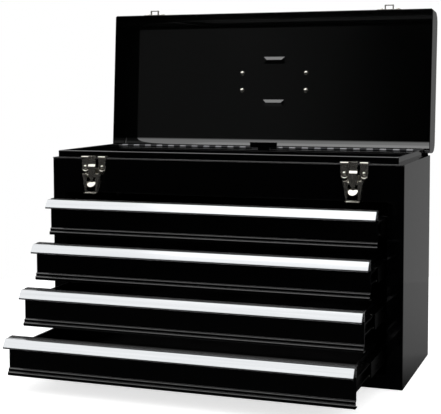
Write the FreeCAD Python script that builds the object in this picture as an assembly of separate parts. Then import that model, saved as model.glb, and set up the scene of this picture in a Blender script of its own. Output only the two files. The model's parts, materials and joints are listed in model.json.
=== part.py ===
import FreeCAD, Part
import math
import os

# Portable four-drawer steel tool chest with a hinged lid, a till under the lid,
# two draw latches and four drawers on telescopic slides.
# X is the width, -Y the front, +Z up. The origin is the centre of the base.
# The chest stands as it is photographed: lid thrown back, drawers stepped out.

# Driving sizes of the cabinet, in millimetres
body_width = 520.0
body_depth = 210.0
body_height = 302.0
sheet = 1.0
bend_radius = 1.5
stile_width = 22.0
stile_return = 4.5
fascia_height = 50.0
fascia_return = 12.0
base_rail_height = 20.0
base_rail_return = 8.0
back_flange = 9.0
back_side_relief = 2.0
running_gap = 0.3
cut_overrun = 1.0

# Raised collar and till
collar_height = 10.0
collar_side_inset = 8.0
collar_front_inset = 3.0
collar_rim = 2.0
till_floor_gap = 1.5
till_wall_drop = 8.0
till_channel = 6.0
till_flange_drop = 3.0

# Lid and its piano hinge
lid_height = 48.7
lid_fold_radius = 18.0
lid_end_radius = 3.0
lid_open_angle = 94.3
hinge_rise = 6.5
hinge_end_gap = 8.0
barrel_radius = 2.4
pin_radius = 1.2
pin_clearance = 0.05
knuckle_pitch = 70.0
knuckle_gap = 0.4
leaf_sheet = 0.8
leaf_width = 14.0

# Pressed dents in the lid that leave room for fingers round the folded handle
dent_length = 35.0
dent_width = 11.0
dent_slope = 4.8
dent_depth = 2.0

# Carrying handle
handle_span = 107.0
handle_reach = 34.5
handle_rod_radius = 3.0
handle_pivot_height = 9.0
handle_arm_sheet = 2.5
handle_arm_radius = 5.5
grip_radius = 6.5
grip_clearance = 0.05
bracket_width = 12.0
bracket_length = 40.0
bracket_sheet = 1.5

# Latches
latch_inset = 67.0
latch_width = 38.0
latch_plate_height = 23.0
latch_plate = 1.2
latch_rise = 2.6
latch_roll_radius = 1.45
latch_slot_width = 15.5
latch_axis_drop = 25.0
latch_axis_stand = 6.0
latch_pin_radius = 1.3
ear_span = 20.0
ear_radius = 3.2
lever_top_width = 27.0
lever_bottom_width = 18.5
lever_length = 26.0
lever_stand = 5.0
lever_sheet = 1.2
lever_side_depth = 6.5
lever_lip = 3.0
lever_window_width = 14.0
lever_foot_band = 2.4
claw_width = 11.0
claw_sheet = 1.4
claw_drop = 11.0
claw_neck_width = 4.0
claw_neck_length = 9.0
claw_foot_radius = 6.5
claw_foot_drop = 2.5
claw_foot_angle = 40.0
claw_hook = 3.6
claw_top_rise = 3.1
claw_step = 1.8
claw_step_height = 3.0
claw_step_drop = 12.0
strike_width = 36.0
strike_height = 16.0
strike_rise = 3.8
strike_stand = 8.0
strike_bridge_width = 13.4
strike_bridge_height = 4.0

# Drawers
drawer_count = 4
drawer_openings = [52.0, 94.6, 128.9, 172.0]
drawer_top_gap = 3.9
drawer_bottom_gap = 1.5
drawer_gap = 5.0
drawer_side_gap = 1.8
drawer_rear_room = 20.0
drawer_wall_drop = 11.0
drawer_back_drop = 4.0
drawer_floor_rise = 6.5
drawer_hem = 2.2
drawer_hem_height = 5.0
front_top_return = 8.0
front_foot_return = 6.0
flare_step = 2.5
flare_band = 4.6
flare_slope = 1.2

# Drawer pulls
pull_reach = 16.8
pull_top_depth = 8.5
pull_height = 12.8
pull_wall = 1.6
pull_nose_radius = 1.7
pull_web_height = 15.0

# Telescopic slides
slide_thickness = 12.7
slide_height = 27.0
slide_sheet = 1.2
slide_setback = 2.0
race_gap = 1.9
web_gap = 1.6
flange_gap = 1.9
post_width = 20.0
post_setback = 12.0
post_back_gap = 24.0

# Nylon runners pressed on the middle member of each slide
runner_length = 75.0
runner_inset = 6.0
runner_width = 4.5

# Drawer lock
lock_travel = 6.0
lock_width = 18.0
lock_sheet = 1.5
lock_back_gap = 1.5
lock_foot_gap = 24.0
lock_head_width = 44.0
lock_head_height = 8.0
lock_head_rise = 15.5
lock_hook_width = 14.0
lock_hook_overlap = 5.0
lock_hook_clearance = 1.0
lock_lip_gap = 1.5
guide_height = 10.0
guide_side = 4.0
lock_tab_width = 30.0
lock_tab_reach = 5.0
lock_tab_height = 14.0

# Places that follow from the sizes
half_width = body_width / 2
front = -body_depth / 2
back = body_depth / 2
ledge = body_height
opening_half = half_width - stile_width
opening_top = body_height - fascia_height
opening_bottom = base_rail_height
drawers_top = opening_top - drawer_top_gap
drawers_bottom = opening_bottom + drawer_bottom_gap
drawer_pitch = (drawers_top - drawers_bottom + drawer_gap) / drawer_count
front_height = drawer_pitch - drawer_gap
front_half = opening_half - drawer_side_gap
box_half = opening_half - slide_thickness
box_front = front + sheet
box_depth = body_depth - drawer_rear_room
box_back = box_front + box_depth
slide_front = box_front + slide_setback
slide_back = slide_front + box_depth
hinge_y = back + barrel_radius
hinge_z = ledge + hinge_rise
lid_rim = ledge + running_gap
lid_top = lid_rim + lid_height
lid_back = hinge_y + barrel_radius + sheet
lid_back_inside = lid_back - sheet
hinge_half = half_width - hinge_end_gap
collar_half = half_width - collar_side_inset
collar_front = front + collar_front_inset
collar_top = ledge + collar_height
back_inside = back - sheet
till_half = collar_half - collar_rim
till_front = collar_front + collar_rim
till_back = back_inside - till_channel
till_floor = opening_top + till_floor_gap
till_top = collar_top - till_wall_drop
till_flange = ledge - till_flange_drop


def point(x, y, z):
    return FreeCAD.Vector(x, y, z)


def block(x_span, y_span, z_span):
    # A box between two values on each axis
    size = [span[1] - span[0] for span in (x_span, y_span, z_span)]
    return Part.makeBox(size[0], size[1], size[2], point(x_span[0], y_span[0], z_span[0]))


def centred(width):
    return (-width / 2, width / 2)


def rod(radius, start, end):
    axis = end - start
    return Part.makeCylinder(radius, axis.Length, start, axis)


def plate(corners):
    return Part.Face(Part.makePolygon(corners + corners[:1]))


def along_x(outline, x_span):
    # Outline of (y, z) points carried from one x to another
    face = plate([point(x_span[0], y, z) for y, z in outline])
    return face.extrude(point(x_span[1] - x_span[0], 0, 0))


def along_y(outline, y_span):
    # Outline of (x, z) points carried from one y to another
    face = plate([point(x, y_span[0], z) for x, z in outline])
    return face.extrude(point(0, y_span[1] - y_span[0], 0))


def along_z(outline, z_span):
    # Outline of (x, y) points carried from one height to another
    face = plate([point(x, y, z_span[0]) for x, y in outline])
    return face.extrude(point(0, 0, z_span[1] - z_span[0]))


def folded(line, thickness):
    # Closed outline of sheet metal that follows an open line, the sheet on the line's left.
    # Each corner is a mitre of the two offset sides.
    normals = []
    for (a0, b0), (a1, b1) in zip(line, line[1:]):
        length = math.hypot(a1 - a0, b1 - b0)
        normals.append(((b0 - b1) / length, (a1 - a0) / length))
    before = normals[:1] + normals
    after = normals + normals[-1:]
    inner = []
    for (a, b), n0, n1 in zip(line, before, after):
        reach = thickness / (1 + n0[0] * n1[0] + n0[1] * n1[1])
        inner.append((a + reach * (n0[0] + n1[0]), b + reach * (n0[1] + n1[1])))
    return line + inner[::-1]


def round_edges(solid, spots, radius):
    # Fillets the straight edges that pass through any of the spots
    edges = []
    for edge in solid.Edges:
        if any(edge.distToShape(Part.Vertex(spot))[0] < pin_clearance for spot in spots):
            edges.append(edge)
    return solid.makeFillet(radius, edges)


def mirrored(shape):
    return shape.mirror(point(0, 0, 0), point(1, 0, 0))


def both_sides(shape):
    return [shape, mirrored(shape)]


def joined(pieces):
    first = pieces[0]
    return first.fuse(pieces[1:]).removeSplitter() if len(pieces) > 1 else first


def opened(shape):
    # Turns a piece of the lid from closed to thrown back
    turned = shape.copy()
    turned.rotate(point(0, hinge_y, hinge_z), point(-1, 0, 0), lid_open_angle)
    return turned


def pulled(shape, distance):
    moved = shape.copy()
    moved.translate(point(0, -distance, 0))
    return moved


# Cabinet

def side_panel():
    # One folded sheet: stile return, stile, side wall and back flange
    line = [
        (opening_half, front + stile_return),
        (opening_half, front),
        (half_width, front),
        (half_width, back_inside),
        (half_width - back_flange, back_inside),
    ]
    wall = along_z(folded(line, sheet), (0, ledge - sheet))
    return round_edges(wall, [point(half_width, front, ledge / 2)], bend_radius)


def front_fascia():
    # Drawn downwards from the ledge, with its lower edge folded back
    line = [
        (front, ledge - sheet),
        (front, opening_top),
        (front + fascia_return, opening_top),
    ]
    return along_x(folded(line, sheet), (-opening_half, opening_half))


def base_pan():
    # Floor of the cabinet with the rail below the bottom drawer
    line = [
        (front + base_rail_return, base_rail_height),
        (front, base_rail_height),
        (front, 0),
        (front + sheet, 0),
    ]
    rail = along_x(folded(line, sheet), (-opening_half, opening_half))
    inner_half = half_width - sheet
    behind_stiles = front + stile_return
    floor = block((-inner_half, inner_half), (behind_stiles, back_inside - sheet), (0, sheet))
    tongue = block((-opening_half, opening_half), (front + sheet, behind_stiles), (0, sheet))
    return joined([rail, tongue, floor])


def back_panel():
    lower = block((-half_width, half_width), (back_inside, back), (0, ledge))
    upper_half = half_width - sheet - back_side_relief
    top = hinge_z - barrel_radius - running_gap
    upper = block((-upper_half, upper_half), (back_inside, back), (ledge, top))
    return joined([lower, upper])


def collar():
    # Ledge that the lid stands on, with a doubled rim standing up inside it
    ledge_z = (ledge - sheet, ledge)
    rim_z = (ledge, collar_top)
    outer = block((-half_width, half_width), (front, back_inside), ledge_z)
    rim = block((-collar_half, collar_half), (collar_front, back_inside), rim_z)
    window = block(
        (-till_half, till_half),
        (till_front, back_inside + cut_overrun),
        (ledge - sheet - cut_overrun, collar_top + cut_overrun),
    )
    frame = joined([outer, rim]).cut(window)
    top_edges = [
        point(0, collar_front, collar_top),
        point(collar_half, 0, collar_top),
        point(-collar_half, 0, collar_top),
    ]
    return round_edges(frame, top_edges, collar_rim / 2)


def till_tray():
    # Open tray hung inside the collar, with a flange back to the rear panel
    outer = block((-till_half, till_half), (till_front, till_back), (till_floor, till_top))
    hollow = block(
        (-till_half + sheet, till_half - sheet),
        (till_front + sheet, till_back - sheet),
        (till_floor + sheet, till_top + cut_overrun),
    )
    flange_z = (till_flange, till_flange + sheet)
    flange = block((-till_half, till_half), (till_back - sheet, back_inside), flange_z)
    slot_half = lock_width / 2 + running_gap
    slot = block(
        (-slot_half, slot_half),
        (till_back, back_inside + cut_overrun),
        (till_flange - cut_overrun, till_flange + sheet + cut_overrun),
    )
    return joined([outer.cut(hollow), flange.cut(slot)])


def slide_post(y_start):
    # Upright channel between the floor and the till that carries the slides
    line = [
        (half_width - sheet, y_start),
        (opening_half, y_start),
        (opening_half, y_start + post_width),
        (half_width - sheet, y_start + post_width),
    ]
    return along_z(folded(line[::-1], sheet), (sheet, till_floor))


def slide_posts():
    places = [front + post_setback, slide_back - post_back_gap]
    return [post for y in places for post in both_sides(slide_post(y))]


# Piano hinge

def knuckle_spans(first):
    # Lengths of barrel that belong to one leaf, one in every pitch
    count = int(2 * hinge_half / knuckle_pitch)
    half_pitch = knuckle_pitch / 2
    start = first * half_pitch - count * half_pitch + knuckle_gap / 2
    lows = [start + index * knuckle_pitch for index in range(count)]
    return [(low, low + half_pitch - knuckle_gap) for low in lows]


def hinge_leaf(first, side):
    # Sheet that is curled round the pin in every other knuckle. The side is -1 for the leaf below
    # the pin, on the back of the cabinet, and 1 for the one above it, inside the rear wall of the lid.
    face_y = hinge_y + side * barrel_radius
    inner_y = face_y - side * leaf_sheet
    plate_end = hinge_z + side * (barrel_radius + running_gap)
    z_span = sorted((plate_end, plate_end + side * leaf_width))
    pieces = [block((-hinge_half, hinge_half), sorted((face_y, inner_y)), z_span)]
    for span in knuckle_spans(first):
        pieces.append(knuckle(span, side, face_y, inner_y, plate_end))
    bore_radius = pin_radius + pin_clearance
    ends = [point(x, hinge_y, hinge_z) for x in (-half_width, half_width)]
    return joined(pieces).cut(rod(bore_radius, ends[0], ends[1]))


def knuckle(span, side, face_y, inner_y, plate_end):
    # The sheet runs straight to the height of the pin, then round it and back to its own inner face
    closing = side * math.sqrt(barrel_radius ** 2 - (barrel_radius - leaf_sheet) ** 2)

    def at(y, z):
        return point(span[0], y, z)

    edges = [
        Part.makeLine(at(face_y, plate_end), at(face_y, hinge_z)),
        Part.Arc(
            at(face_y, hinge_z),
            at(hinge_y - side * barrel_radius, hinge_z),
            at(inner_y, hinge_z + closing),
        ).toShape(),
        Part.makeLine(at(inner_y, hinge_z + closing), at(inner_y, plate_end)),
        Part.makeLine(at(inner_y, plate_end), at(face_y, plate_end)),
    ]
    return Part.Face(Part.Wire(edges)).extrude(point(span[1] - span[0], 0, 0))


def hinge_pin():
    return rod(pin_radius, point(-hinge_half, hinge_y, hinge_z), point(hinge_half, hinge_y, hinge_z))


# Lid, drawn closed

def lid_body(inset, bottom):
    # A block whose front and rear top edges are broad folds and whose ends are slightly rounded
    top = lid_top - inset
    ends_x = (-half_width + inset, half_width - inset)
    solid = block(ends_x, (front + inset, lid_back - inset), (bottom, top))
    folds = [point(0, y, top) for y in (front + inset, lid_back - inset)]
    solid = round_edges(solid, folds, lid_fold_radius - inset)
    # The rounded ends run over the folds and the flat top, but not down the upright corners
    top_folds = [edge for edge in solid.Edges if edge.BoundBox.ZMin > top - lid_fold_radius - running_gap]
    end_edges = [edge for edge in top_folds if edge.BoundBox.XLength < running_gap]
    return solid.makeFillet(lid_end_radius - inset, end_edges)


def finger_dent(y_centre, depth):
    # Sunk panel with sloping sides, drawn from the top of the lid downwards and moved down by the depth
    top = lid_top - depth
    half_length = dent_length / 2
    half_across = dent_width / 2
    rims = []
    for inset, z in ((0, top), (dent_slope, top - dent_depth)):
        x_reach = half_length - inset
        y_reach = half_across - inset
        corners = [(-x_reach, -y_reach), (x_reach, -y_reach), (x_reach, y_reach), (-x_reach, y_reach)]
        rim = [point(x, y_centre + y, z) for x, y in corners]
        rims.append(Part.makePolygon(rim + rim[:1]))
    return Part.makeLoft(rims, True, True)


def lid_shell():
    outer = lid_body(0, lid_rim)
    inner = lid_body(sheet, lid_rim - cut_overrun)
    for y in (-handle_reach, handle_reach):
        outer = outer.cut(finger_dent(y, 0))
        inner = inner.cut(finger_dent(y, sheet))
    shell = outer.cut(inner)
    # The rear wall stops at the height of the hinge pin, between the two side walls
    rear_half = half_width - sheet
    rear_gap = block(
        (-rear_half, rear_half),
        (lid_back_inside - running_gap, lid_back + cut_overrun),
        (lid_rim - cut_overrun, hinge_z + running_gap),
    )
    return shell.cut(rear_gap)


def lock_tab():
    # Angle on the upper hinge leaf that presses the drawer lock down as the lid closes
    tab_z = ledge + lock_head_rise - lock_travel + running_gap
    wall_y = lid_back_inside - leaf_sheet
    line = [
        (back_inside - lock_tab_reach, tab_z),
        (wall_y, tab_z),
        (wall_y, tab_z + lock_tab_height),
    ]
    return along_x(folded(line, sheet), centred(lock_tab_width))


# Handle on the lid, drawn with the lid closed

def handle_bracket():
    # Strap riveted at both ends, bridging over the end of the handle rod
    pivot_z = lid_top + handle_pivot_height
    hole_radius = handle_rod_radius + pin_clearance
    hump_radius = hole_radius + bracket_sheet
    x_span = (handle_span / 2 - bracket_width / 2, handle_span / 2 + bracket_width / 2)
    strap = block(x_span, centred(bracket_length), (lid_top, lid_top + bracket_sheet))
    cheeks = block(x_span, (-hump_radius, hump_radius), (lid_top, pivot_z))
    crown = rod(hump_radius, point(x_span[0], 0, pivot_z), point(x_span[1], 0, pivot_z))
    bore = rod(hole_radius, point(0, 0, pivot_z), point(half_width, 0, pivot_z))
    return joined([strap, cheeks, crown]).cut(bore)


def handle_arm_span():
    # Flat arm beside the bracket, on the right-hand side
    outer = handle_span / 2 - bracket_width / 2 - running_gap
    return (outer - handle_arm_sheet, outer)


def handle_bail():
    # Two flat arms with rounded ends, joined by a bar, with a pivot pin out through each bracket
    pivot_z = lid_top + handle_pivot_height
    arm_x = handle_arm_span()
    end_x = handle_span / 2 + bracket_width / 2
    arm_z = (pivot_z - handle_arm_radius, pivot_z + handle_arm_radius)
    pieces = [block(arm_x, (0, handle_reach), arm_z)]
    for radius, x_span, y in (
        (handle_arm_radius, arm_x, 0),
        (handle_arm_radius, arm_x, handle_reach),
        (handle_rod_radius, (arm_x[1], end_x), 0),
        (handle_rod_radius, (0, arm_x[1]), handle_reach),
    ):
        pieces.append(rod(radius, point(x_span[0], y, pivot_z), point(x_span[1], y, pivot_z)))
    return joined(both_sides(joined(pieces)))


def handle_grip():
    # Sleeve round the bar, from arm to arm
    pivot_z = lid_top + handle_pivot_height
    half = handle_arm_span()[0] - running_gap
    ends = [point(x, handle_reach, pivot_z) for x in (-half, half)]
    sleeve = rod(grip_radius, ends[0], ends[1])
    return sleeve.cut(rod(handle_rod_radius + grip_clearance, ends[0], ends[1]))


def hung(shape):
    # With the lid open the handle hangs straight down, so it leans off the lid by the angle past upright
    turned = shape.copy()
    lean = lid_open_angle - 90
    turned.rotate(point(0, 0, lid_top + handle_pivot_height), point(1, 0, 0), lean)
    return opened(turned)


# Latches, drawn at x = 0 and then moved

def latch_axis():
    return (front - latch_axis_stand, ledge - latch_axis_drop)


def across(radius, half, y, z):
    # A rod along X, centred on x = 0
    return rod(radius, point(-half, y, z), point(half, y, z))


def lobe_radius():
    # The foot of each prong is a half circle as wide as the prong
    return (latch_width - latch_slot_width) / 4


def lobe_centre_z():
    return ledge + latch_rise - latch_plate_height + lobe_radius()


def latch_prong():
    # Right-hand arm of the base plate, round at the foot. Its top rises past the ledge in a roll
    # that stands clear of the closed lid.
    x_span = (latch_slot_width / 2, latch_width / 2)
    lobe_x = (x_span[0] + x_span[1]) / 2
    lobe_z = lobe_centre_z()
    plate_y = (front - latch_plate, front)
    arm = block(x_span, plate_y, (lobe_z, ledge))
    foot = rod(lobe_radius(), point(lobe_x, plate_y[0], lobe_z), point(lobe_x, plate_y[1], lobe_z))
    roll_y = front - running_gap - latch_roll_radius
    roll_z = ledge + latch_rise - latch_roll_radius
    roll = rod(latch_roll_radius, point(x_span[0], roll_y, roll_z), point(x_span[1], roll_y, roll_z))
    return joined([arm, foot, roll])


def latch_base():
    # Two riveted prongs, a bridge between their feet behind the claw, and two pivot ears
    axis_y, axis_z = latch_axis()
    plate_y = (front - latch_plate, front)
    ear_z = (axis_z - ear_radius, axis_z + ear_radius)
    bridge = block(centred(ear_span), plate_y, (ear_z[0], lobe_centre_z()))
    pieces = both_sides(latch_prong()) + [bridge]
    for x_low in (-ear_span / 2, ear_span / 2 - latch_plate):
        span = (x_low, x_low + latch_plate)
        boss = rod(ear_radius, point(span[0], axis_y, axis_z), point(span[1], axis_y, axis_z))
        pieces += [boss, block(span, (axis_y, front), ear_z)]
    bore = across(latch_pin_radius + pin_clearance, ear_span, axis_y, axis_z)
    return joined(pieces).cut(bore)


def latch_lever():
    # Tapered channel over the ears, open in the middle for the claw, with a lip to pull on
    # and two cross pins
    axis_y, axis_z = latch_axis()
    face_y = axis_y - lever_stand
    top_z = axis_z + latch_pin_radius + lever_sheet
    foot_z = axis_z - lever_length
    half_top = lever_top_width / 2
    half_foot = lever_bottom_width / 2

    def taper(inset, overrun, y_span):
        outline = [
            (inset - half_top, top_z + overrun),
            (half_top - inset, top_z + overrun),
            (half_foot - inset, foot_z - overrun),
            (inset - half_foot, foot_z - overrun),
        ]
        return along_y(outline, y_span)

    back_y = face_y + lever_side_depth
    body = taper(0, 0, (face_y, back_y))
    body = body.cut(taper(lever_sheet, cut_overrun, (face_y + lever_sheet, back_y + cut_overrun)))
    window = block(
        centred(lever_window_width),
        (face_y - cut_overrun, face_y + lever_sheet + cut_overrun),
        (foot_z + lever_foot_band, top_z + cut_overrun),
    )
    lip_y = (face_y - lever_lip, face_y + lever_sheet)
    lip = block(centred(lever_bottom_width), lip_y, (foot_z, foot_z + lever_sheet))
    pieces = [body.cut(window), lip]
    for pin_z in (axis_z, axis_z - claw_drop):
        share = (pin_z - foot_z) / (top_z - foot_z)
        reach = half_foot + share * (half_top - half_foot) - lever_sheet / 2
        pieces.append(across(latch_pin_radius, reach, axis_y, pin_z))
    return joined(pieces)


def latch_claw():
    # Hook that climbs between the prongs with a step on its way and a lip that reaches back at the
    # top. It narrows to a neck that is curled round the lever's cross pin, and ends in a round foot
    # that leans forwards.
    axis_y, axis_z = latch_axis()
    claw_z = axis_z - claw_drop
    neck_z = claw_z + claw_neck_length
    top_z = ledge + claw_top_rise
    curl_radius = latch_pin_radius + claw_sheet
    shank_y = (axis_y - curl_radius, axis_y - latch_pin_radius)
    upper_y = shank_y[0] + claw_step
    step_z = top_z - claw_step_drop
    line = [
        (upper_y + claw_hook, top_z),
        (upper_y, top_z),
        (upper_y, step_z),
        (shank_y[0], step_z - claw_step_height),
        (shank_y[0], neck_z),
    ]
    hook = along_x(folded(line, claw_sheet), centred(claw_width))
    half = claw_width / 2
    half_neck = claw_neck_width / 2
    shoulder_z = neck_z - (half - half_neck)
    outline = [
        (-half, neck_z),
        (-half_neck, shoulder_z),
        (-half_neck, claw_z),
        (half_neck, claw_z),
        (half_neck, shoulder_z),
        (half, neck_z),
    ]
    neck = along_y(outline, shank_y)
    curl = across(curl_radius, half_neck, axis_y, claw_z)
    foot_z = claw_z - claw_foot_drop
    foot = rod(claw_foot_radius, point(0, shank_y[0], foot_z), point(0, shank_y[1], foot_z))
    above = block(
        centred(2 * claw_foot_radius),
        (shank_y[0] - cut_overrun, shank_y[1] + cut_overrun),
        (claw_z, claw_z + claw_foot_radius),
    )
    foot = foot.cut(above)
    foot.rotate(point(0, axis_y, claw_z), point(-1, 0, 0), claw_foot_angle)
    bore = across(latch_pin_radius + pin_clearance, claw_foot_radius, axis_y, claw_z)
    return joined([curl, neck, hook, foot]).cut(bore)


def strike():
    # Plate on the lid's front wall with a bridge that stands out for the claw
    foot = lid_rim + strike_rise
    solid = block(centred(strike_width), (front - latch_plate, front), (foot, foot + strike_height))
    half = strike_bridge_width / 2
    bridge_y = front - strike_stand
    line = [(-half, front), (-half, bridge_y), (half, bridge_y), (half, front)]
    bridge = along_z(folded(line, latch_plate), (foot, foot + strike_bridge_height))
    return joined([solid, bridge])


def placed(shape, x):
    moved = shape.copy()
    moved.translate(point(x, 0, 0))
    return moved


# Drawers, drawn closed

def drawer_top(index):
    return drawers_top - index * drawer_pitch


def drawer_front(index):
    # Flat panel whose foot steps out in two bands and folds back
    top = drawer_top(index)
    foot = top - front_height
    second = foot + flare_band
    first = second + flare_band
    line = [
        (front + front_top_return, top - pull_wall),
        (front, top - pull_wall),
        (front, first + flare_slope),
        (front - flare_step, first),
        (front - flare_step, second + flare_slope),
        (front - 2 * flare_step, second),
        (front - 2 * flare_step, foot),
        (front + front_foot_return, foot),
    ]
    return along_x(folded(line, sheet), (-front_half, front_half))


def drawer_pull(index):
    # Extruded grip: flat top, a face that rolls forwards and down, and a rounded nose
    top = drawer_top(index)
    face_top = front - pull_top_depth
    nose_y = front - pull_reach + pull_nose_radius
    nose_z = top - pull_height
    bulge = math.sqrt(0.5)
    drop = pull_height
    depth = pull_reach - pull_top_depth
    outer_mid = (face_top - depth * bulge, top - drop * (1 - bulge))
    nose_out = (nose_y - pull_nose_radius, nose_z)
    nose_low = (nose_y, nose_z - pull_nose_radius)
    nose_in = (nose_y + pull_nose_radius, nose_z)
    inner_top = (face_top, top - pull_wall)
    inner_depth = face_top - nose_in[0]
    inner_drop = inner_top[1] - nose_z
    inner_mid = (face_top - inner_depth * bulge, inner_top[1] - inner_drop * (1 - bulge))

    def at(place):
        return point(-front_half, place[0], place[1])

    web = front - pull_wall
    foot = top - pull_web_height
    edges = [
        Part.makeLine(at((front, top)), at((face_top, top))),
        Part.Arc(at((face_top, top)), at(outer_mid), at(nose_out)).toShape(),
        Part.Arc(at(nose_out), at(nose_low), at(nose_in)).toShape(),
        Part.Arc(at(nose_in), at(inner_mid), at(inner_top)).toShape(),
        Part.makeLine(at(inner_top), at((web, top - pull_wall))),
        Part.makeLine(at((web, top - pull_wall)), at((web, foot))),
        Part.makeLine(at((web, foot)), at((front, foot))),
        Part.makeLine(at((front, foot)), at((front, top))),
    ]
    return Part.Face(Part.Wire(edges)).extrude(point(2 * front_half, 0, 0))


def wall_top(index):
    return drawer_top(index) - drawer_wall_drop


def box_floor(index):
    return drawer_top(index) - front_height + drawer_floor_rise


def drawer_box(index):
    # Folded tray with hemmed side walls and a lower back
    floor = box_floor(index)
    top = wall_top(index)
    outer = block((-box_half, box_half), (box_front, box_back), (floor - sheet, top))
    hollow = block(
        (-box_half + sheet, box_half - sheet),
        (box_front + sheet, box_back - sheet),
        (floor, top + cut_overrun),
    )
    back_notch = block(
        (-box_half + sheet, box_half - sheet),
        (box_back - 2 * sheet, box_back + cut_overrun),
        (top - drawer_back_drop, top + cut_overrun),
    )
    hem = block((box_half - drawer_hem, box_half), (box_front, box_back), (top - drawer_hem_height, top))
    return joined([outer.cut(hollow).cut(back_notch)] + both_sides(hem))


# Telescopic slides, drawn closed on the right-hand side

def slide_member(web_x, tip_x, half_height, index):
    # C-section with its web at web_x and its flanges reaching to tip_x
    centre = slide_centre(index)
    top = centre + half_height
    foot = centre - half_height
    line = [(tip_x, top), (web_x, top), (web_x, foot), (tip_x, foot)]
    if web_x > tip_x:
        line.reverse()
    return along_y(folded(line, slide_sheet), (slide_front, slide_back))


def slide_centre(index):
    return (wall_top(index) + box_floor(index)) / 2


outer_web = opening_half
outer_tip = box_half + slide_sheet + flange_gap
outer_half = slide_height / 2
middle_web = outer_web - slide_sheet - web_gap
middle_tip = box_half + flange_gap
middle_half = outer_half - slide_sheet - race_gap
inner_web = box_half
inner_tip = middle_web - slide_sheet - web_gap
inner_half = middle_half - slide_sheet - race_gap


def slide_outer(index):
    return slide_member(outer_web, outer_tip, outer_half, index)


def slide_middle(index):
    return slide_member(middle_web, middle_tip, middle_half, index)


def slide_inner(index):
    return slide_member(inner_web, inner_tip, inner_half, index)


def slide_runners(index):
    # Two strips outside the middle member's flanges at its rear and two inside them at its front
    centre = slide_centre(index)
    rear_y = (slide_back - runner_inset - runner_length, slide_back - runner_inset)
    front_y = (slide_front + runner_inset, slide_front + runner_inset + runner_length)
    outside = (middle_half, middle_half + race_gap - running_gap)
    inside = (inner_half + running_gap, middle_half - slide_sheet)
    strips = []
    for y_span, (low, high), tip in ((rear_y, outside, outer_tip), (front_y, inside, middle_tip)):
        x_span = (tip + running_gap, tip + running_gap + runner_width)
        strips.append(block(x_span, y_span, (centre + low, centre + high)))
        strips.append(block(x_span, y_span, (centre - high, centre - low)))
    return strips


# Drawer lock behind the drawers, drawn raised as it is with the lid open

def hook_rest(index):
    # Top of the drawer's back wall, which the lip of the hook drops behind
    return wall_top(index) - drawer_back_drop


def lock_bar():
    # Flat bar with a broad head under the lid's tab and a hook for each drawer
    bar_y = (back_inside - lock_back_gap - lock_sheet, back_inside - lock_back_gap)
    head_top = ledge + lock_head_rise
    head_foot = head_top - lock_head_height
    pieces = [
        block(centred(lock_width), bar_y, (lock_foot_gap, head_foot)),
        block(centred(lock_head_width), bar_y, (head_foot, head_top)),
    ]
    lip_front = box_back - sheet - lock_lip_gap - lock_sheet
    for index in range(drawer_count):
        lip_foot = hook_rest(index) + lock_hook_clearance
        arm_foot = lip_foot + lock_hook_overlap + lock_sheet
        arm_top = arm_foot + lock_sheet
        line = [(bar_y[1], arm_top), (lip_front, arm_top), (lip_front, lip_foot)]
        pieces.append(along_x(folded(line, lock_sheet), centred(lock_hook_width)))
    return joined(pieces)


def lock_guides():
    # Two straps on the back panel that keep the bar upright: feet against the panel, and a crown
    # that bridges the bar
    crown_y = back_inside - lock_back_gap - lock_sheet - running_gap
    half_crown = lock_width / 2 + running_gap
    half_feet = half_crown + sheet + guide_side
    line = [
        (-half_feet, back_inside),
        (-half_crown, back_inside),
        (-half_crown, crown_y),
        (half_crown, crown_y),
        (half_crown, back_inside),
        (half_feet, back_inside),
    ]
    outline = folded(line[::-1], sheet)
    guides = []
    for index in (0, drawer_count - 1):
        middle = box_floor(index)
        z_span = (middle - guide_height / 2, middle + guide_height / 2)
        guides.append(along_z(outline, z_span))
    return guides


# Export

def save(name, shapes):
    pieces = shapes if isinstance(shapes, list) else [shapes]
    solids = [solid for piece in pieces for solid in piece.Solids]
    result = solids[0] if len(solids) == 1 else Part.makeCompound(solids)
    assert all(solid.isValid() for solid in solids), name
    result.exportStep("parts/" + name + ".step")


def save_cabinet():
    save("side_panel_right", side_panel())
    save("side_panel_left", mirrored(side_panel()))
    save("front_fascia", front_fascia())
    save("base_pan", base_pan())
    save("back_panel", back_panel())
    save("till_collar", collar())
    save("till_tray", till_tray())
    save("slide_posts", slide_posts())
    save("hinge_leaf_lower", hinge_leaf(0, -1))
    save("hinge_pin", hinge_pin())
    save("lock_guides", lock_guides())
    save("lock_bar", lock_bar())


def save_lid():
    save("lid_shell", opened(lid_shell()))
    save("hinge_leaf_upper", opened(hinge_leaf(1, 1)))
    save("lock_tab", opened(lock_tab()))
    save("handle_brackets", [opened(piece) for piece in both_sides(handle_bracket())])
    save("handle_bail", hung(handle_bail()))
    save("handle_grip", hung(handle_grip()))


def save_latches():
    places = centred(body_width - 2 * latch_inset)
    save("latch_bases", [placed(latch_base(), x) for x in places])
    save("lid_strikes", [opened(placed(strike(), x)) for x in places])
    for side, x in zip(("left", "right"), places):
        save("latch_lever_" + side, placed(latch_lever(), x))
        save("latch_claw_" + side, placed(latch_claw(), x))


def save_drawers():
    for index in range(drawer_count):
        distance = drawer_openings[index]
        number = str(index + 1)
        save("drawer_box_" + number, pulled(drawer_box(index), distance))
        save("drawer_front_" + number, pulled(drawer_front(index), distance))
        save("drawer_pull_" + number, pulled(drawer_pull(index), distance))
        inner = [pulled(piece, distance) for piece in both_sides(slide_inner(index))]
        middle = [pulled(piece, distance / 2) for piece in both_sides(slide_middle(index))]
        strips = [piece for strip in slide_runners(index) for piece in both_sides(strip)]
        runners = [pulled(piece, distance / 2) for piece in strips]
        save("slide_inner_" + number, inner)
        save("slide_middle_" + number, middle)
        save("slide_runners_" + number, runners)
        save("slide_outer_" + number, both_sides(slide_outer(index)))


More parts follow.
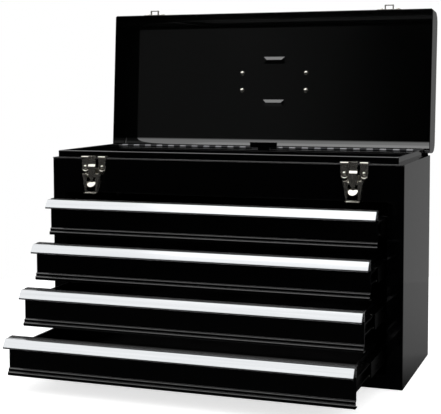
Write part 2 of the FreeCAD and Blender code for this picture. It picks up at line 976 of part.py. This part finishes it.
os.makedirs("parts", exist_ok=True)
save_cabinet()
save_lid()
save_latches()
save_drawers()
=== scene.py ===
import json
import math

import bpy
import numpy as np
from mathutils import Matrix, Vector


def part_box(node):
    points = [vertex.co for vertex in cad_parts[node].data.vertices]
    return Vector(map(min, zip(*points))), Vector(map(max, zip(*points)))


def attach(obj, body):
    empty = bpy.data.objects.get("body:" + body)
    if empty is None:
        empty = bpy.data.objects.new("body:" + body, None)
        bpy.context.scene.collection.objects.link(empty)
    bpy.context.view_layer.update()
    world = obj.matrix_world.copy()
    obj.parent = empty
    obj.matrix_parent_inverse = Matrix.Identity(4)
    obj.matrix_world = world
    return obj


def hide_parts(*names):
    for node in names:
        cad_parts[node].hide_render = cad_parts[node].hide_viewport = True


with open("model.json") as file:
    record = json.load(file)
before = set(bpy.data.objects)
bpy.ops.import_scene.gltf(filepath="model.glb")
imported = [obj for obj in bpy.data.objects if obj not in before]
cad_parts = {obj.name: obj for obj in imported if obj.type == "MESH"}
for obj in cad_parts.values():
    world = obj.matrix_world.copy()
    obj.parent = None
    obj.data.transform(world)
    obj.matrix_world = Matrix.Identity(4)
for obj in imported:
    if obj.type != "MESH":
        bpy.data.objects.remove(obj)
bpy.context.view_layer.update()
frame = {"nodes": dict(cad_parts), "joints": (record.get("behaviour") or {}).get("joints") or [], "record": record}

nodes = frame["nodes"]
joints = {joint["name"]: joint for joint in frame["joints"]}

sharpAngle = math.radians(35)
noiseSpread = (0.3, 0.7)


# Shape helpers. A shape is a pair: points, an array of x, y, z rows, and faces, lists of indices.

def stitched(rings, count):
    # Quads between neighbouring rings of points, each ring closed on itself
    faces = []
    for ring in range(rings - 1):
        for index in range(count):
            beside = (index + 1) % count
            low = ring * count
            high = low + count
            faces.append([low + index, low + beside, high + beside, high + index])
    return faces


def capped(rings, count):
    # The quads of stitched, and a face over the first and the last ring
    faces = stitched(rings, count)
    faces.append(list(range(count))[::-1])
    faces.append(list(range((rings - 1) * count, rings * count)))
    return faces


def dome(radius, rise, rings=6, segments=20, crown=0.15):
    # Head of a rivet on the XY plane, a quarter ellipse turned about Z:
    # point (i, j) = (radius sin t_i cos a_j, radius sin t_i sin a_j, rise cos t_i)
    tilt = np.linspace(math.pi / 2, crown, rings)[:, None]
    angle = np.linspace(0, 2 * math.pi, segments, endpoint=False)
    points = np.stack([
        radius * np.sin(tilt) * np.cos(angle),
        radius * np.sin(tilt) * np.sin(angle),
        rise * np.cos(tilt) + 0 * angle,
    ], axis=-1).reshape(-1, 3)
    return points, capped(rings, segments)


def bead(bendRadius, thickness, start, end, steps=24, segments=10, tip=0.02):
    # Raised crescent on the XZ plane, bent round Y from a start angle to an end angle. With the
    # bend's radius R, the angle a_i along the bend, the angle b_j round the bead, and its own
    # radius r_i, which shrinks as the square root of a sine to both tips:
    # point (i, j) = ((R + r_i cos b_j) cos a_i, r_i sin b_j, (R + r_i cos b_j) sin a_i)
    share = np.linspace(tip, 1 - tip, steps)[:, None]
    along = start + (end - start) * share
    own = thickness * np.sqrt(np.sin(math.pi * share))
    around = np.linspace(0, 2 * math.pi, segments, endpoint=False)
    reach = bendRadius + own * np.cos(around)
    points = np.stack([
        reach * np.cos(along),
        own * np.sin(around),
        reach * np.sin(along),
    ], axis=-1).reshape(-1, 3)
    return points, capped(steps, segments)


def arc(centre, radius, start, end, count):
    # Point i = centre + radius (cos a_i, sin a_i), with a_i in degrees from start to end
    angle = np.radians(np.linspace(start, end, count))
    return [(centre[0] + radius * math.cos(a), centre[1] + radius * math.sin(a)) for a in angle]


def prism(outline, low, high):
    # An outline of (y, z) points, anticlockwise seen from +X, carried along X from low to high
    count = len(outline)
    ends = [np.column_stack([np.full(count, x), np.array(outline)]) for x in (low, high)]
    return np.vstack(ends), capped(2, count)


def turned(shape, axis, degrees):
    turn = np.array(Matrix.Rotation(math.radians(degrees), 3, axis))
    return shape[0] @ turn.T, shape[1]


def moved(shape, *offset):
    return shape[0] + np.array(offset), shape[1]


def together(shapes):
    points = []
    faces = []
    start = 0
    for shapePoints, shapeFaces in shapes:
        points.append(shapePoints)
        faces += [[start + index for index in face] for face in shapeFaces]
        start += len(shapePoints)
    return np.vstack(points), faces


def thrownBack(shape):
    # From the closed lid's place to the open one, about the hinge pin
    lidHinge = joints["lid_hinge"]
    pin = np.array(lidHinge["pos_m"])
    opening = math.radians(-lidHinge["range_deg"][0])
    turn = np.array(Matrix.Rotation(opening, 3, Vector(lidHinge["axis"])))
    return (shape[0] - pin) @ turn.T + pin, shape[1]


def addPiece(name, shape, material, body):
    mesh = bpy.data.meshes.new(name)
    mesh.from_pydata(shape[0].tolist(), [], shape[1])
    mesh.shade_smooth()
    mesh.set_sharp_from_angle(angle=sharpAngle)
    mesh.materials.append(material)
    piece = bpy.data.objects.new(name, mesh)
    bpy.context.collection.objects.link(piece)
    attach(piece, body)
    return piece


# Shader helpers

def newMaterial(name):
    material = bpy.data.materials.new(name)
    material.use_nodes = True
    tree = material.node_tree
    return material, tree, tree.nodes["Principled BSDF"]


def objectNoise(tree, scale, detail, stretch=(1, 1, 1)):
    # Noise on object coordinates, in cycles a metre, stretched by a factor on each axis
    coordinates = tree.nodes.new("ShaderNodeTexCoord")
    mapping = tree.nodes.new("ShaderNodeMapping")
    mapping.inputs["Scale"].default_value = stretch
    noise = tree.nodes.new("ShaderNodeTexNoise")
    noise.inputs["Scale"].default_value = scale
    noise.inputs["Detail"].default_value = detail
    tree.links.new(coordinates.outputs["Object"], mapping.inputs["Vector"])
    tree.links.new(mapping.outputs["Vector"], noise.inputs["Vector"])
    return noise.outputs["Fac"]


def ranged(tree, value, low, high):
    # Maps noise from its usual spread to a range of values
    spread = tree.nodes.new("ShaderNodeMapRange")
    spread.inputs["From Min"].default_value = noiseSpread[0]
    spread.inputs["From Max"].default_value = noiseSpread[1]
    spread.inputs["To Min"].default_value = low
    spread.inputs["To Max"].default_value = high
    tree.links.new(value, spread.inputs["Value"])
    return spread.outputs["Result"]


def bumped(tree, shader, height, distance, edgeRadius):
    # Fine relief, on edges that are softened to a radius so that folds catch the light
    edge = tree.nodes.new("ShaderNodeBevel")
    edge.inputs["Radius"].default_value = edgeRadius
    bump = tree.nodes.new("ShaderNodeBump")
    bump.inputs["Distance"].default_value = distance
    tree.links.new(height, bump.inputs["Height"])
    tree.links.new(edge.outputs["Normal"], bump.inputs["Normal"])
    tree.links.new(bump.outputs["Normal"], shader.inputs["Normal"])


def twoTones(tree, shader, value, first, second):
    # Base colour that wanders between two tones
    mix = tree.nodes.new("ShaderNodeMix")
    mix.data_type = "RGBA"
    mix.inputs["A"].default_value = (*first, 1)
    mix.inputs["B"].default_value = (*second, 1)
    tree.links.new(value, mix.inputs["Factor"])
    tree.links.new(mix.outputs["Result"], shader.inputs["Base Color"])


# Materials

def enamel(name, tone):
    # Glossy black enamel with the faint ripple of a sprayed coat
    material, tree, shader = newMaterial(name)
    shader.inputs["Specular IOR Level"].default_value = tone["gloss"]
    cloud = objectNoise(tree, tone["cloudScale"], 3)
    twoTones(tree, shader, cloud, tone["dark"], tone["light"])
    tree.links.new(ranged(tree, cloud, *tone["roughness"]), shader.inputs["Roughness"])
    ripple = objectNoise(tree, tone["rippleScale"], 1)
    bumped(tree, shader, ripple, tone["rippleHeight"], tone["edgeRadius"])
    return material


def platedMetal(name, tone):
    # Bright plate or bare metal, with fine scratches along one axis
    material, tree, shader = newMaterial(name)
    shader.inputs["Metallic"].default_value = tone["metallic"]
    cloud = objectNoise(tree, tone["cloudScale"], 3, tone["cloudStretch"])
    twoTones(tree, shader, cloud, tone["dark"], tone["light"])
    grain = objectNoise(tree, tone["grainScale"], 2, tone["grainStretch"])
    tree.links.new(ranged(tree, grain, *tone["roughness"]), shader.inputs["Roughness"])
    bumped(tree, shader, grain, tone["grainHeight"], tone["edgeRadius"])
    return material


def mouldedPlastic(name, tone):
    # Matt plastic with the fine grain of its mould
    material, tree, shader = newMaterial(name)
    cloud = objectNoise(tree, tone["cloudScale"], 3)
    twoTones(tree, shader, cloud, tone["dark"], tone["light"])
    tree.links.new(ranged(tree, cloud, *tone["roughness"]), shader.inputs["Roughness"])
    grain = objectNoise(tree, tone["grainScale"], 2)
    bumped(tree, shader, grain, tone["grainHeight"], tone["edgeRadius"])
    return material


blackEnamel = enamel("blackEnamel", {
    "dark": (0.0004, 0.0004, 0.0005), "light": (0.0008, 0.0009, 0.0010),
    "gloss": 0.9, "cloudScale": 9, "roughness": (0.04, 0.08),
    "rippleScale": 700, "rippleHeight": 0.000004, "edgeRadius": 0.0006,
})
lidEnamel = enamel("lidEnamel", {
    "dark": (0.0007, 0.0009, 0.0008), "light": (0.0012, 0.0014, 0.0013),
    "gloss": 0.9, "cloudScale": 7, "roughness": (0.05, 0.09),
    "rippleScale": 600, "rippleHeight": 0.000004, "edgeRadius": 0.0006,
})
insideEnamel = enamel("insideEnamel", {
    "dark": (0.0006, 0.0006, 0.0008), "light": (0.0012, 0.0012, 0.0015),
    "gloss": 0.4, "cloudScale": 12, "roughness": (0.12, 0.2),
    "rippleScale": 500, "rippleHeight": 0.000008, "edgeRadius": 0.0006,
})
pullMetal = platedMetal("pullMetal", {
    "dark": (0.37, 0.38, 0.39), "light": (0.47, 0.48, 0.49), "metallic": 0.92,
    "cloudScale": 350, "cloudStretch": (0.02, 1, 1), "roughness": (0.12, 0.18),
    "grainScale": 900, "grainStretch": (0.01, 1, 1), "grainHeight": 0.000006,
    "edgeRadius": 0.0003,
})
nickelPlate = platedMetal("nickelPlate", {
    "dark": (0.48, 0.46, 0.41), "light": (0.68, 0.66, 0.60), "metallic": 0.94,
    "cloudScale": 120, "cloudStretch": (1, 1, 1), "roughness": (0.10, 0.18),
    "grainScale": 1500, "grainStretch": (1, 1, 0.15), "grainHeight": 0.000004,
    "edgeRadius": 0.0005,
})
slideSteel = platedMetal("slideSteel", {
    "dark": (0.020, 0.020, 0.021), "light": (0.036, 0.036, 0.038), "metallic": 1.0,
    "cloudScale": 60, "cloudStretch": (1, 1, 1), "roughness": (0.24, 0.36),
    "grainScale": 1200, "grainStretch": (1, 0.03, 1), "grainHeight": 0.000004,
    "edgeRadius": 0.0004,
})
hingeSteel = platedMetal("hingeSteel", {
    "dark": (0.11, 0.11, 0.115), "light": (0.18, 0.18, 0.185), "metallic": 1.0,
    "cloudScale": 60, "cloudStretch": (1, 1, 1), "roughness": (0.26, 0.36),
    "grainScale": 1200, "grainStretch": (0.05, 1, 1), "grainHeight": 0.000004,
    "edgeRadius": 0.0003,
})
nylon = mouldedPlastic("nylon", {
    "dark": (0.62, 0.62, 0.59), "light": (0.74, 0.74, 0.70),
    "cloudScale": 80, "roughness": (0.45, 0.55),
    "grainScale": 1500, "grainHeight": 0.000008, "edgeRadius": 0.0004,
})
gripPlastic = mouldedPlastic("gripPlastic", {
    "dark": (0.010, 0.010, 0.010), "light": (0.016, 0.016, 0.016),
    "cloudScale": 80, "roughness": (0.45, 0.6),
    "grainScale": 1800, "grainHeight": 0.00002, "edgeRadius": 0.0004,
})


def paintNodes():
    # Gives every CAD node its material by the record's slots, and the insides a duller enamel
    bySlot = {
        "cabinet_paint": blackEnamel, "drawer_paint": blackEnamel, "lid_paint": lidEnamel,
        "pull_metal": pullMetal, "bright_plate": nickelPlate, "slide_steel": slideSteel,
        "runner_nylon": nylon, "grip_plastic": gripPlastic,
    }
    insides = ("till_tray", "drawer_box_1", "drawer_box_2", "drawer_box_3", "drawer_box_4")
    for part in frame["record"]["subparts"]:
        mesh = nodes[part["node"]].data
        mesh.materials.clear()
        mesh.materials.append(bySlot[part["material_slot"]])
    for name in insides:
        nodes[name].data.materials[0] = insideEnamel


paintNodes()
print("materials done")


# Piano hinge with its real knuckles, in place of the coarse ones of the CAD leaves

hinge = {
    "halfLength": 0.252, "barrelRadius": 0.0024, "sheet": 0.0008,
    "leafGap": 0.0003, "leafWidth": 0.014,
    "pitch": 0.0204, "knuckle": 0.0099, "arcPoints": 14,
}


def knuckleOutline():
    # Sheet of the cabinet's leaf in (y, z) from the pin's centre: up the leaf's inner face, round
    # the pin and down its outer face. Arc point i = (radius cos a_i, radius sin a_i).
    radius = hinge["barrelRadius"]
    closing = math.pi - math.acos((radius - hinge["sheet"]) / radius)
    angle = np.linspace(-closing, math.pi, hinge["arcPoints"])
    barrel = np.column_stack([radius * np.cos(angle), radius * np.sin(angle)])
    foot = -radius - hinge["leafGap"]
    return np.vstack([[(-radius + hinge["sheet"], foot)], barrel, [(-radius, foot)]])


def hingeLeaf(first):
    # Leaf below the pin, at the origin. First is 0 or 1 for the leaf's first knuckle.
    outer = -hinge["barrelRadius"]
    inner = outer + hinge["sheet"]
    high = outer - hinge["leafGap"]
    low = high - hinge["leafWidth"]
    corners = [(outer, low), (inner, low), (inner, high), (outer, high)]
    shapes = [prism(corners, -hinge["halfLength"], hinge["halfLength"])]
    count = int(2 * hinge["halfLength"] / hinge["pitch"])
    start = (first - count) * hinge["pitch"] / 2
    for index in range(count):
        begin = start + index * hinge["pitch"]
        shapes.append(prism(knuckleOutline(), begin, begin + hinge["knuckle"]))
    return together(shapes)


def addHinge():
    # The lid's leaf is the cabinet's one turned half round the pin, then thrown back with the lid
    pin = joints["lid_hinge"]["pos_m"]
    lower = addPiece("hingeLower", moved(hingeLeaf(0), *pin), hingeSteel, "cabinet")
    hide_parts("hinge_leaf_lower")
    lidLeaf = moved(turned(hingeLeaf(1), "X", 180), *pin)
    upper = addPiece("hingeUpper", thrownBack(lidLeaf), slideSteel, "lid")
    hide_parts("hinge_leaf_upper")
    nodes["hinge_pin"].data.materials[0] = hingeSteel


addHinge()
print("hinge done")


# Drawer fronts with rounded bends, and pulls with their slanted face, in place of the CAD's

drawerCount = 4
section = {
    "sheet": 0.001, "topReturn": 0.008, "footReturn": 0.006, "steps": 2, "step": 0.0025,
    "band": 0.0046, "bend": 0.0015, "bendRise": 0.0003, "bendPoints": 9,
}
pull = {
    "reach": 0.0168, "topDrop": 0.0023, "topDepth": 0.0092, "topBend": 0.0016,
    "lipTop": 0.0118, "lipFoot": 0.0145, "lipBend": 0.0007,
    "wall": 0.0015, "webFoot": 0.015, "slant": 36, "bendPoints": 7,
}


def frontOutline(front, top, foot):
    # Sheet section: down the face, out over rounded steps, back under the foot and up inside
    sheet = section["sheet"]
    topEnd = front + section["topReturn"]
    footEnd = front + section["footReturn"]
    last = front - section["steps"] * section["step"]
    outer = [(topEnd, top), (front, top)]
    inner = [(front + sheet, top - sheet), (topEnd, top - sheet)]
    for step in range(section["steps"]):
        near = front - step * section["step"]
        far = near - section["step"]
        ledge = foot + (section["steps"] - step) * section["band"] + section["bendRise"]
        centre = (far + section["bend"], ledge - section["bend"])
        outer.append((near, ledge))
        outer += arc(centre, section["bend"], 90, 180, section["bendPoints"])
        inner = [(far + sheet, ledge - sheet), (near + sheet, ledge - sheet)] + inner
    outer += [(last, foot), (footEnd, foot)]
    inner = [(footEnd, foot + sheet), (last + sheet, foot + sheet)] + inner
    return outer + inner


def pullOutline(front, top):
    # Section of the extrusion: flat top, slanted face, short upright lip, then back inside
    high = top - pull["topDrop"]
    lipTop = top - pull["lipTop"]
    lipFoot = top - pull["lipFoot"]
    foot = top - pull["webFoot"]
    bend = pull["lipBend"]
    lip = front - pull["reach"] + bend
    web = front - pull["wall"]
    slant = 180 - pull["slant"]
    edge = (front - pull["topDepth"], high - pull["topBend"])
    outline = [(front, high)]
    outline += arc(edge, pull["topBend"], 90, slant, pull["bendPoints"])
    outline += arc((lip, lipTop - bend), bend, slant, 180, pull["bendPoints"])
    outline += arc((lip, lipFoot + bend), bend, 180, 360, pull["bendPoints"])
    outline += [(lip + bend, lipTop), (edge[0] + bend, high - pull["wall"])]
    return outline + [(web, high - pull["wall"]), (web, foot), (front, foot)]


def addDrawerFront(number):
    node = "drawer_front_" + str(number)
    low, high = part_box(node)
    front = low[1] + section["steps"] * section["step"]
    shape = prism(frontOutline(front, high[2], low[2]), low[0], high[0])
    body = "drawer_" + str(number)
    face = addPiece("drawerFront" + str(number), shape, blackEnamel, body)
    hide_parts(node)


def addDrawerPull(number):
    node = "drawer_pull_" + str(number)
    low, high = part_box(node)
    shape = prism(pullOutline(low[1] + pull["reach"], high[2]), low[0], high[0])
    body = "drawer_" + str(number)
    grip = addPiece("drawerPull" + str(number), shape, pullMetal, body)
    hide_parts(node)


for number in range(1, drawerCount + 1):
    addDrawerFront(number)
    addDrawerPull(number)
print("drawer faces done")


# Rivet heads, and the beads round the feet of the latches' prongs

latchPlaces = (-0.193, 0.193)
frontFace = -0.1062
handleRivets = {
    "places": [(x, y) for x in (-0.0535, 0.0535) for y in (-0.0139, 0.0139)],
    "inside": 0.3500, "radius": 0.0040, "rise": 0.0020,
}
strikeRivets = {
    "places": [(x + dx, 0.3125) for x in latchPlaces for dx in (-0.0125, 0.0125)],
    "radius": 0.0030, "rise": 0.0022,
}
latchRivets = {
    "places": [(x + dx, 0.2888) for x in latchPlaces for dx in (-0.0134, 0.0134)],
    "radius": 0.0030, "rise": 0.0019,
}
footBeads = {
    "places": [(x + dx, 0.2872) for x in latchPlaces for dx in (-0.0134, 0.0134)],
    "bend": 0.0046, "thickness": 0.0011, "start": math.radians(205), "end": math.radians(335),
}


def onFront(shape, places):
    # Copies of a shape on the front of the closed chest
    return together([moved(shape, x, frontFace, z) for x, z in places])


def frontHeads(spec):
    head = turned(dome(spec["radius"], spec["rise"]), "X", 90)
    return onFront(head, spec["places"])


def addHandleRivets():
    # Heads on the inside of the lid, below the handle's brackets
    head = turned(dome(handleRivets["radius"], handleRivets["rise"]), "X", 180)
    heads = together([moved(head, x, y, handleRivets["inside"]) for x, y in handleRivets["places"]])
    addPiece("handleRivets", thrownBack(heads), nickelPlate, "lid")


def addStrikeRivets():
    heads = thrownBack(frontHeads(strikeRivets))
    addPiece("strikeRivets", heads, nickelPlate, "lid")


def addLatchRivets():
    addPiece("latchRivets", frontHeads(latchRivets), nickelPlate, "cabinet")


def addFootBeads():
    crescent = bead(footBeads["bend"], footBeads["thickness"], footBeads["start"], footBeads["end"])
    shape = onFront(crescent, footBeads["places"])
    addPiece("latchBeads", shape, nickelPlate, "cabinet")


addHandleRivets()
addStrikeRivets()
addLatchRivets()
addFootBeads()
print("rivets done")


# Stage

def mathNode(tree, operation, first, second):
    # One step of arithmetic, whose two values are numbers or sockets
    node = tree.nodes.new("ShaderNodeMath")
    node.operation = operation
    for socket, value in zip(node.inputs, (first, second)):
        if isinstance(value, (int, float)):
            socket.default_value = value
        else:
            tree.links.new(value, socket)
    return node.outputs[0]


def smoothRange(tree, value, low, high):
    # 0 below low, 1 above high, and a smooth step between them
    step = tree.nodes.new("ShaderNodeMapRange")
    step.interpolation_type = "SMOOTHSTEP"
    step.inputs["From Min"].default_value = low
    step.inputs["From Max"].default_value = high
    tree.links.new(value, step.inputs["Value"])
    return step.outputs["Result"]


def coordinateAxes(tree, kind):
    # The X, Y and Z of object or generated coordinates
    coordinates = tree.nodes.new("ShaderNodeTexCoord")
    axes = tree.nodes.new("ShaderNodeSeparateXYZ")
    tree.links.new(coordinates.outputs[kind], axes.inputs[0])
    return axes.outputs


def floorMaterial():
    # White to the camera except where the object shades it. What the paint's gloss mirrors of it is a painted
    #  reflection: painted shade, almost black, in front of the object and painted light, half light, behind it.
    look = {
        "tone": 0.8, "roughness": 0.9, "specular": 0.0, "glow": 0.7,
        "mirroredFront": 0.008, "mirroredRise": 0.2, "riseRange": (-0.1, 0.15),
    }
    material, tree, shader = newMaterial("paleFloor")
    shader.inputs["Roughness"].default_value = look["roughness"]
    shader.inputs["Specular IOR Level"].default_value = look["specular"]
    lightPath = tree.nodes.new("ShaderNodeLightPath")
    # Painted light and shade for glossy rays only: the floor's tone rises from near black in front to lighter
    # behind
    rear = smoothRange(tree, coordinateAxes(tree, "Object")["Y"], *look["riseRange"])
    rise = mathNode(tree, "MULTIPLY", rear, look["mirroredRise"])
    paintedMirrorTone = mathNode(tree, "ADD", rise, look["mirroredFront"])
    mix = tree.nodes.new("ShaderNodeMix")
    mix.data_type = "RGBA"
    mix.inputs["A"].default_value = (look["tone"], look["tone"], look["tone"], 1)
    tree.links.new(paintedMirrorTone, mix.inputs["B"])
    tree.links.new(lightPath.outputs["Is Glossy Ray"], mix.inputs["Factor"])
    tree.links.new(mix.outputs["Result"], shader.inputs["Base Color"])
    glow = tree.nodes.new("ShaderNodeEmission")
    seen = mathNode(tree, "MULTIPLY", lightPath.outputs["Is Camera Ray"], look["glow"])
    tree.links.new(seen, glow.inputs["Strength"])
    total = tree.nodes.new("ShaderNodeAddShader")
    tree.links.new(shader.outputs["BSDF"], total.inputs[0])
    tree.links.new(glow.outputs["Emission"], total.inputs[1])
    tree.links.new(total.outputs["Shader"], tree.nodes["Material Output"].inputs["Surface"])
    return material


def addFloor():
    disc = {"radius": 0.85, "vertices": 96, "place": (0, -0.05, -0.0005)}
    bpy.ops.mesh.primitive_circle_add(
        vertices=disc["vertices"], radius=disc["radius"], fill_type="NGON", location=disc["place"])
    floor = bpy.context.object
    floor.name = "floor"
    floor.data.materials.append(floorMaterial())


def mirroredStudio(tree):
    # What gloss mirrors: a bright tent overhead, dimmer on the right, half light behind, less on
    # the left and almost none low in front. Each range is of a direction's share along an axis.
    studio = {
        "overhead": 2.0, "overheadRange": (0.2, 0.4),
        "rightShare": 0.15, "rightRange": (-0.2, 0.05),
        "behind": 0.21, "behindRange": (-0.2, 0.25),
        "left": 0.058, "leftRange": (0.16, 0.3), "floorRange": (0.0, 0.08),
        "front": 0.002,
    }
    axes = coordinateAxes(tree, "Generated")
    leftward = mathNode(tree, "MULTIPLY", axes["X"], -1)
    awayFromRight = smoothRange(tree, leftward, *studio["rightRange"])
    rest = mathNode(tree, "MULTIPLY", awayFromRight, 1 - studio["rightShare"])
    sideShare = mathNode(tree, "ADD", rest, studio["rightShare"])
    overhead = smoothRange(tree, axes["Z"], *studio["overheadRange"])
    overhead = mathNode(tree, "MULTIPLY", overhead, sideShare)
    overhead = mathNode(tree, "MULTIPLY", overhead, studio["overhead"])
    behind = smoothRange(tree, axes["Y"], *studio["behindRange"])
    behind = mathNode(tree, "MULTIPLY", behind, studio["behind"])
    onLeft = smoothRange(tree, leftward, *studio["leftRange"])
    overFloor = smoothRange(tree, axes["Z"], *studio["floorRange"])
    left = mathNode(tree, "MULTIPLY", onLeft, overFloor)
    left = mathNode(tree, "MULTIPLY", left, studio["left"])
    low = mathNode(tree, "MAXIMUM", left, studio["front"])
    high = mathNode(tree, "MAXIMUM", behind, overhead)
    return mathNode(tree, "MAXIMUM", high, low)


def lightWorld():
    # White to the camera and even to matt surfaces, and a studio to what gloss mirrors
    evenLight = 0.9
    world = bpy.data.worlds.new("studio")
    bpy.context.scene.world = world
    world.use_nodes = True
    tree = world.node_tree
    tree.nodes.clear()
    rays = tree.nodes.new("ShaderNodeLightPath").outputs
    mirrored = mathNode(tree, "MULTIPLY", mirroredStudio(tree), rays["Is Glossy Ray"])
    matt = mathNode(tree, "MULTIPLY", rays["Is Diffuse Ray"], evenLight)
    level = mathNode(tree, "ADD", mirrored, matt)
    level = mathNode(tree, "ADD", level, rays["Is Camera Ray"])
    background = tree.nodes.new("ShaderNodeBackground")
    background.inputs["Color"].default_value = (1, 1, 1, 1)
    tree.links.new(level, background.inputs["Strength"])
    output = tree.nodes.new("ShaderNodeOutputWorld")
    tree.links.new(background.outputs[0], output.inputs["Surface"])


def addSoftbox():
    softbox = {
        "place": (0.0, -0.5, 1.9), "target": (0, -0.05, 0.2), "size": (1.6, 1.2), "power": 5,
    }
    light = bpy.data.lights.new("overhead", "AREA")
    light.shape = "RECTANGLE"
    light.size, light.size_y = softbox["size"]
    light.energy = softbox["power"]
    lamp = bpy.data.objects.new("overhead", light)
    aim = Vector(softbox["target"]) - Vector(softbox["place"])
    turn = aim.to_track_quat("-Z", "Y").to_matrix().to_4x4()
    lamp.matrix_world = Matrix.Translation(softbox["place"]) @ turn
    bpy.context.collection.objects.link(lamp)


def addCamera():
    # Fitted to the photo: place and direction in the frame's axes, and a shift for its framing
    view = {
        "place": (0.52436, -1.55671, 0.40894), "lens": 90.49, "sensor": 36.0,
        "right": (0.9409101, 0.33865152, -0.00182821),
        "up": (-0.0214598, 0.06500978, 0.99765385),
        "back": (0.33797584, -0.93866335, 0.06843575),
        "shiftX": 0.0014, "shiftY": -0.1066,
    }
    lens = bpy.data.cameras.new("camera")
    lens.lens = view["lens"]
    lens.sensor_fit = "HORIZONTAL"
    lens.sensor_width = view["sensor"]
    lens.shift_x = view["shiftX"]
    lens.shift_y = view["shiftY"]
    camera = bpy.data.objects.new("camera", lens)
    turn = Matrix((view["right"], view["up"], view["back"])).transposed().to_4x4()
    camera.matrix_world = Matrix.Translation(view["place"]) @ turn
    bpy.context.collection.objects.link(camera)
    bpy.context.scene.camera = camera


addFloor()
lightWorld()
addSoftbox()
addCamera()
bpy.context.scene.view_settings.view_transform = "Standard"
print("stage done")
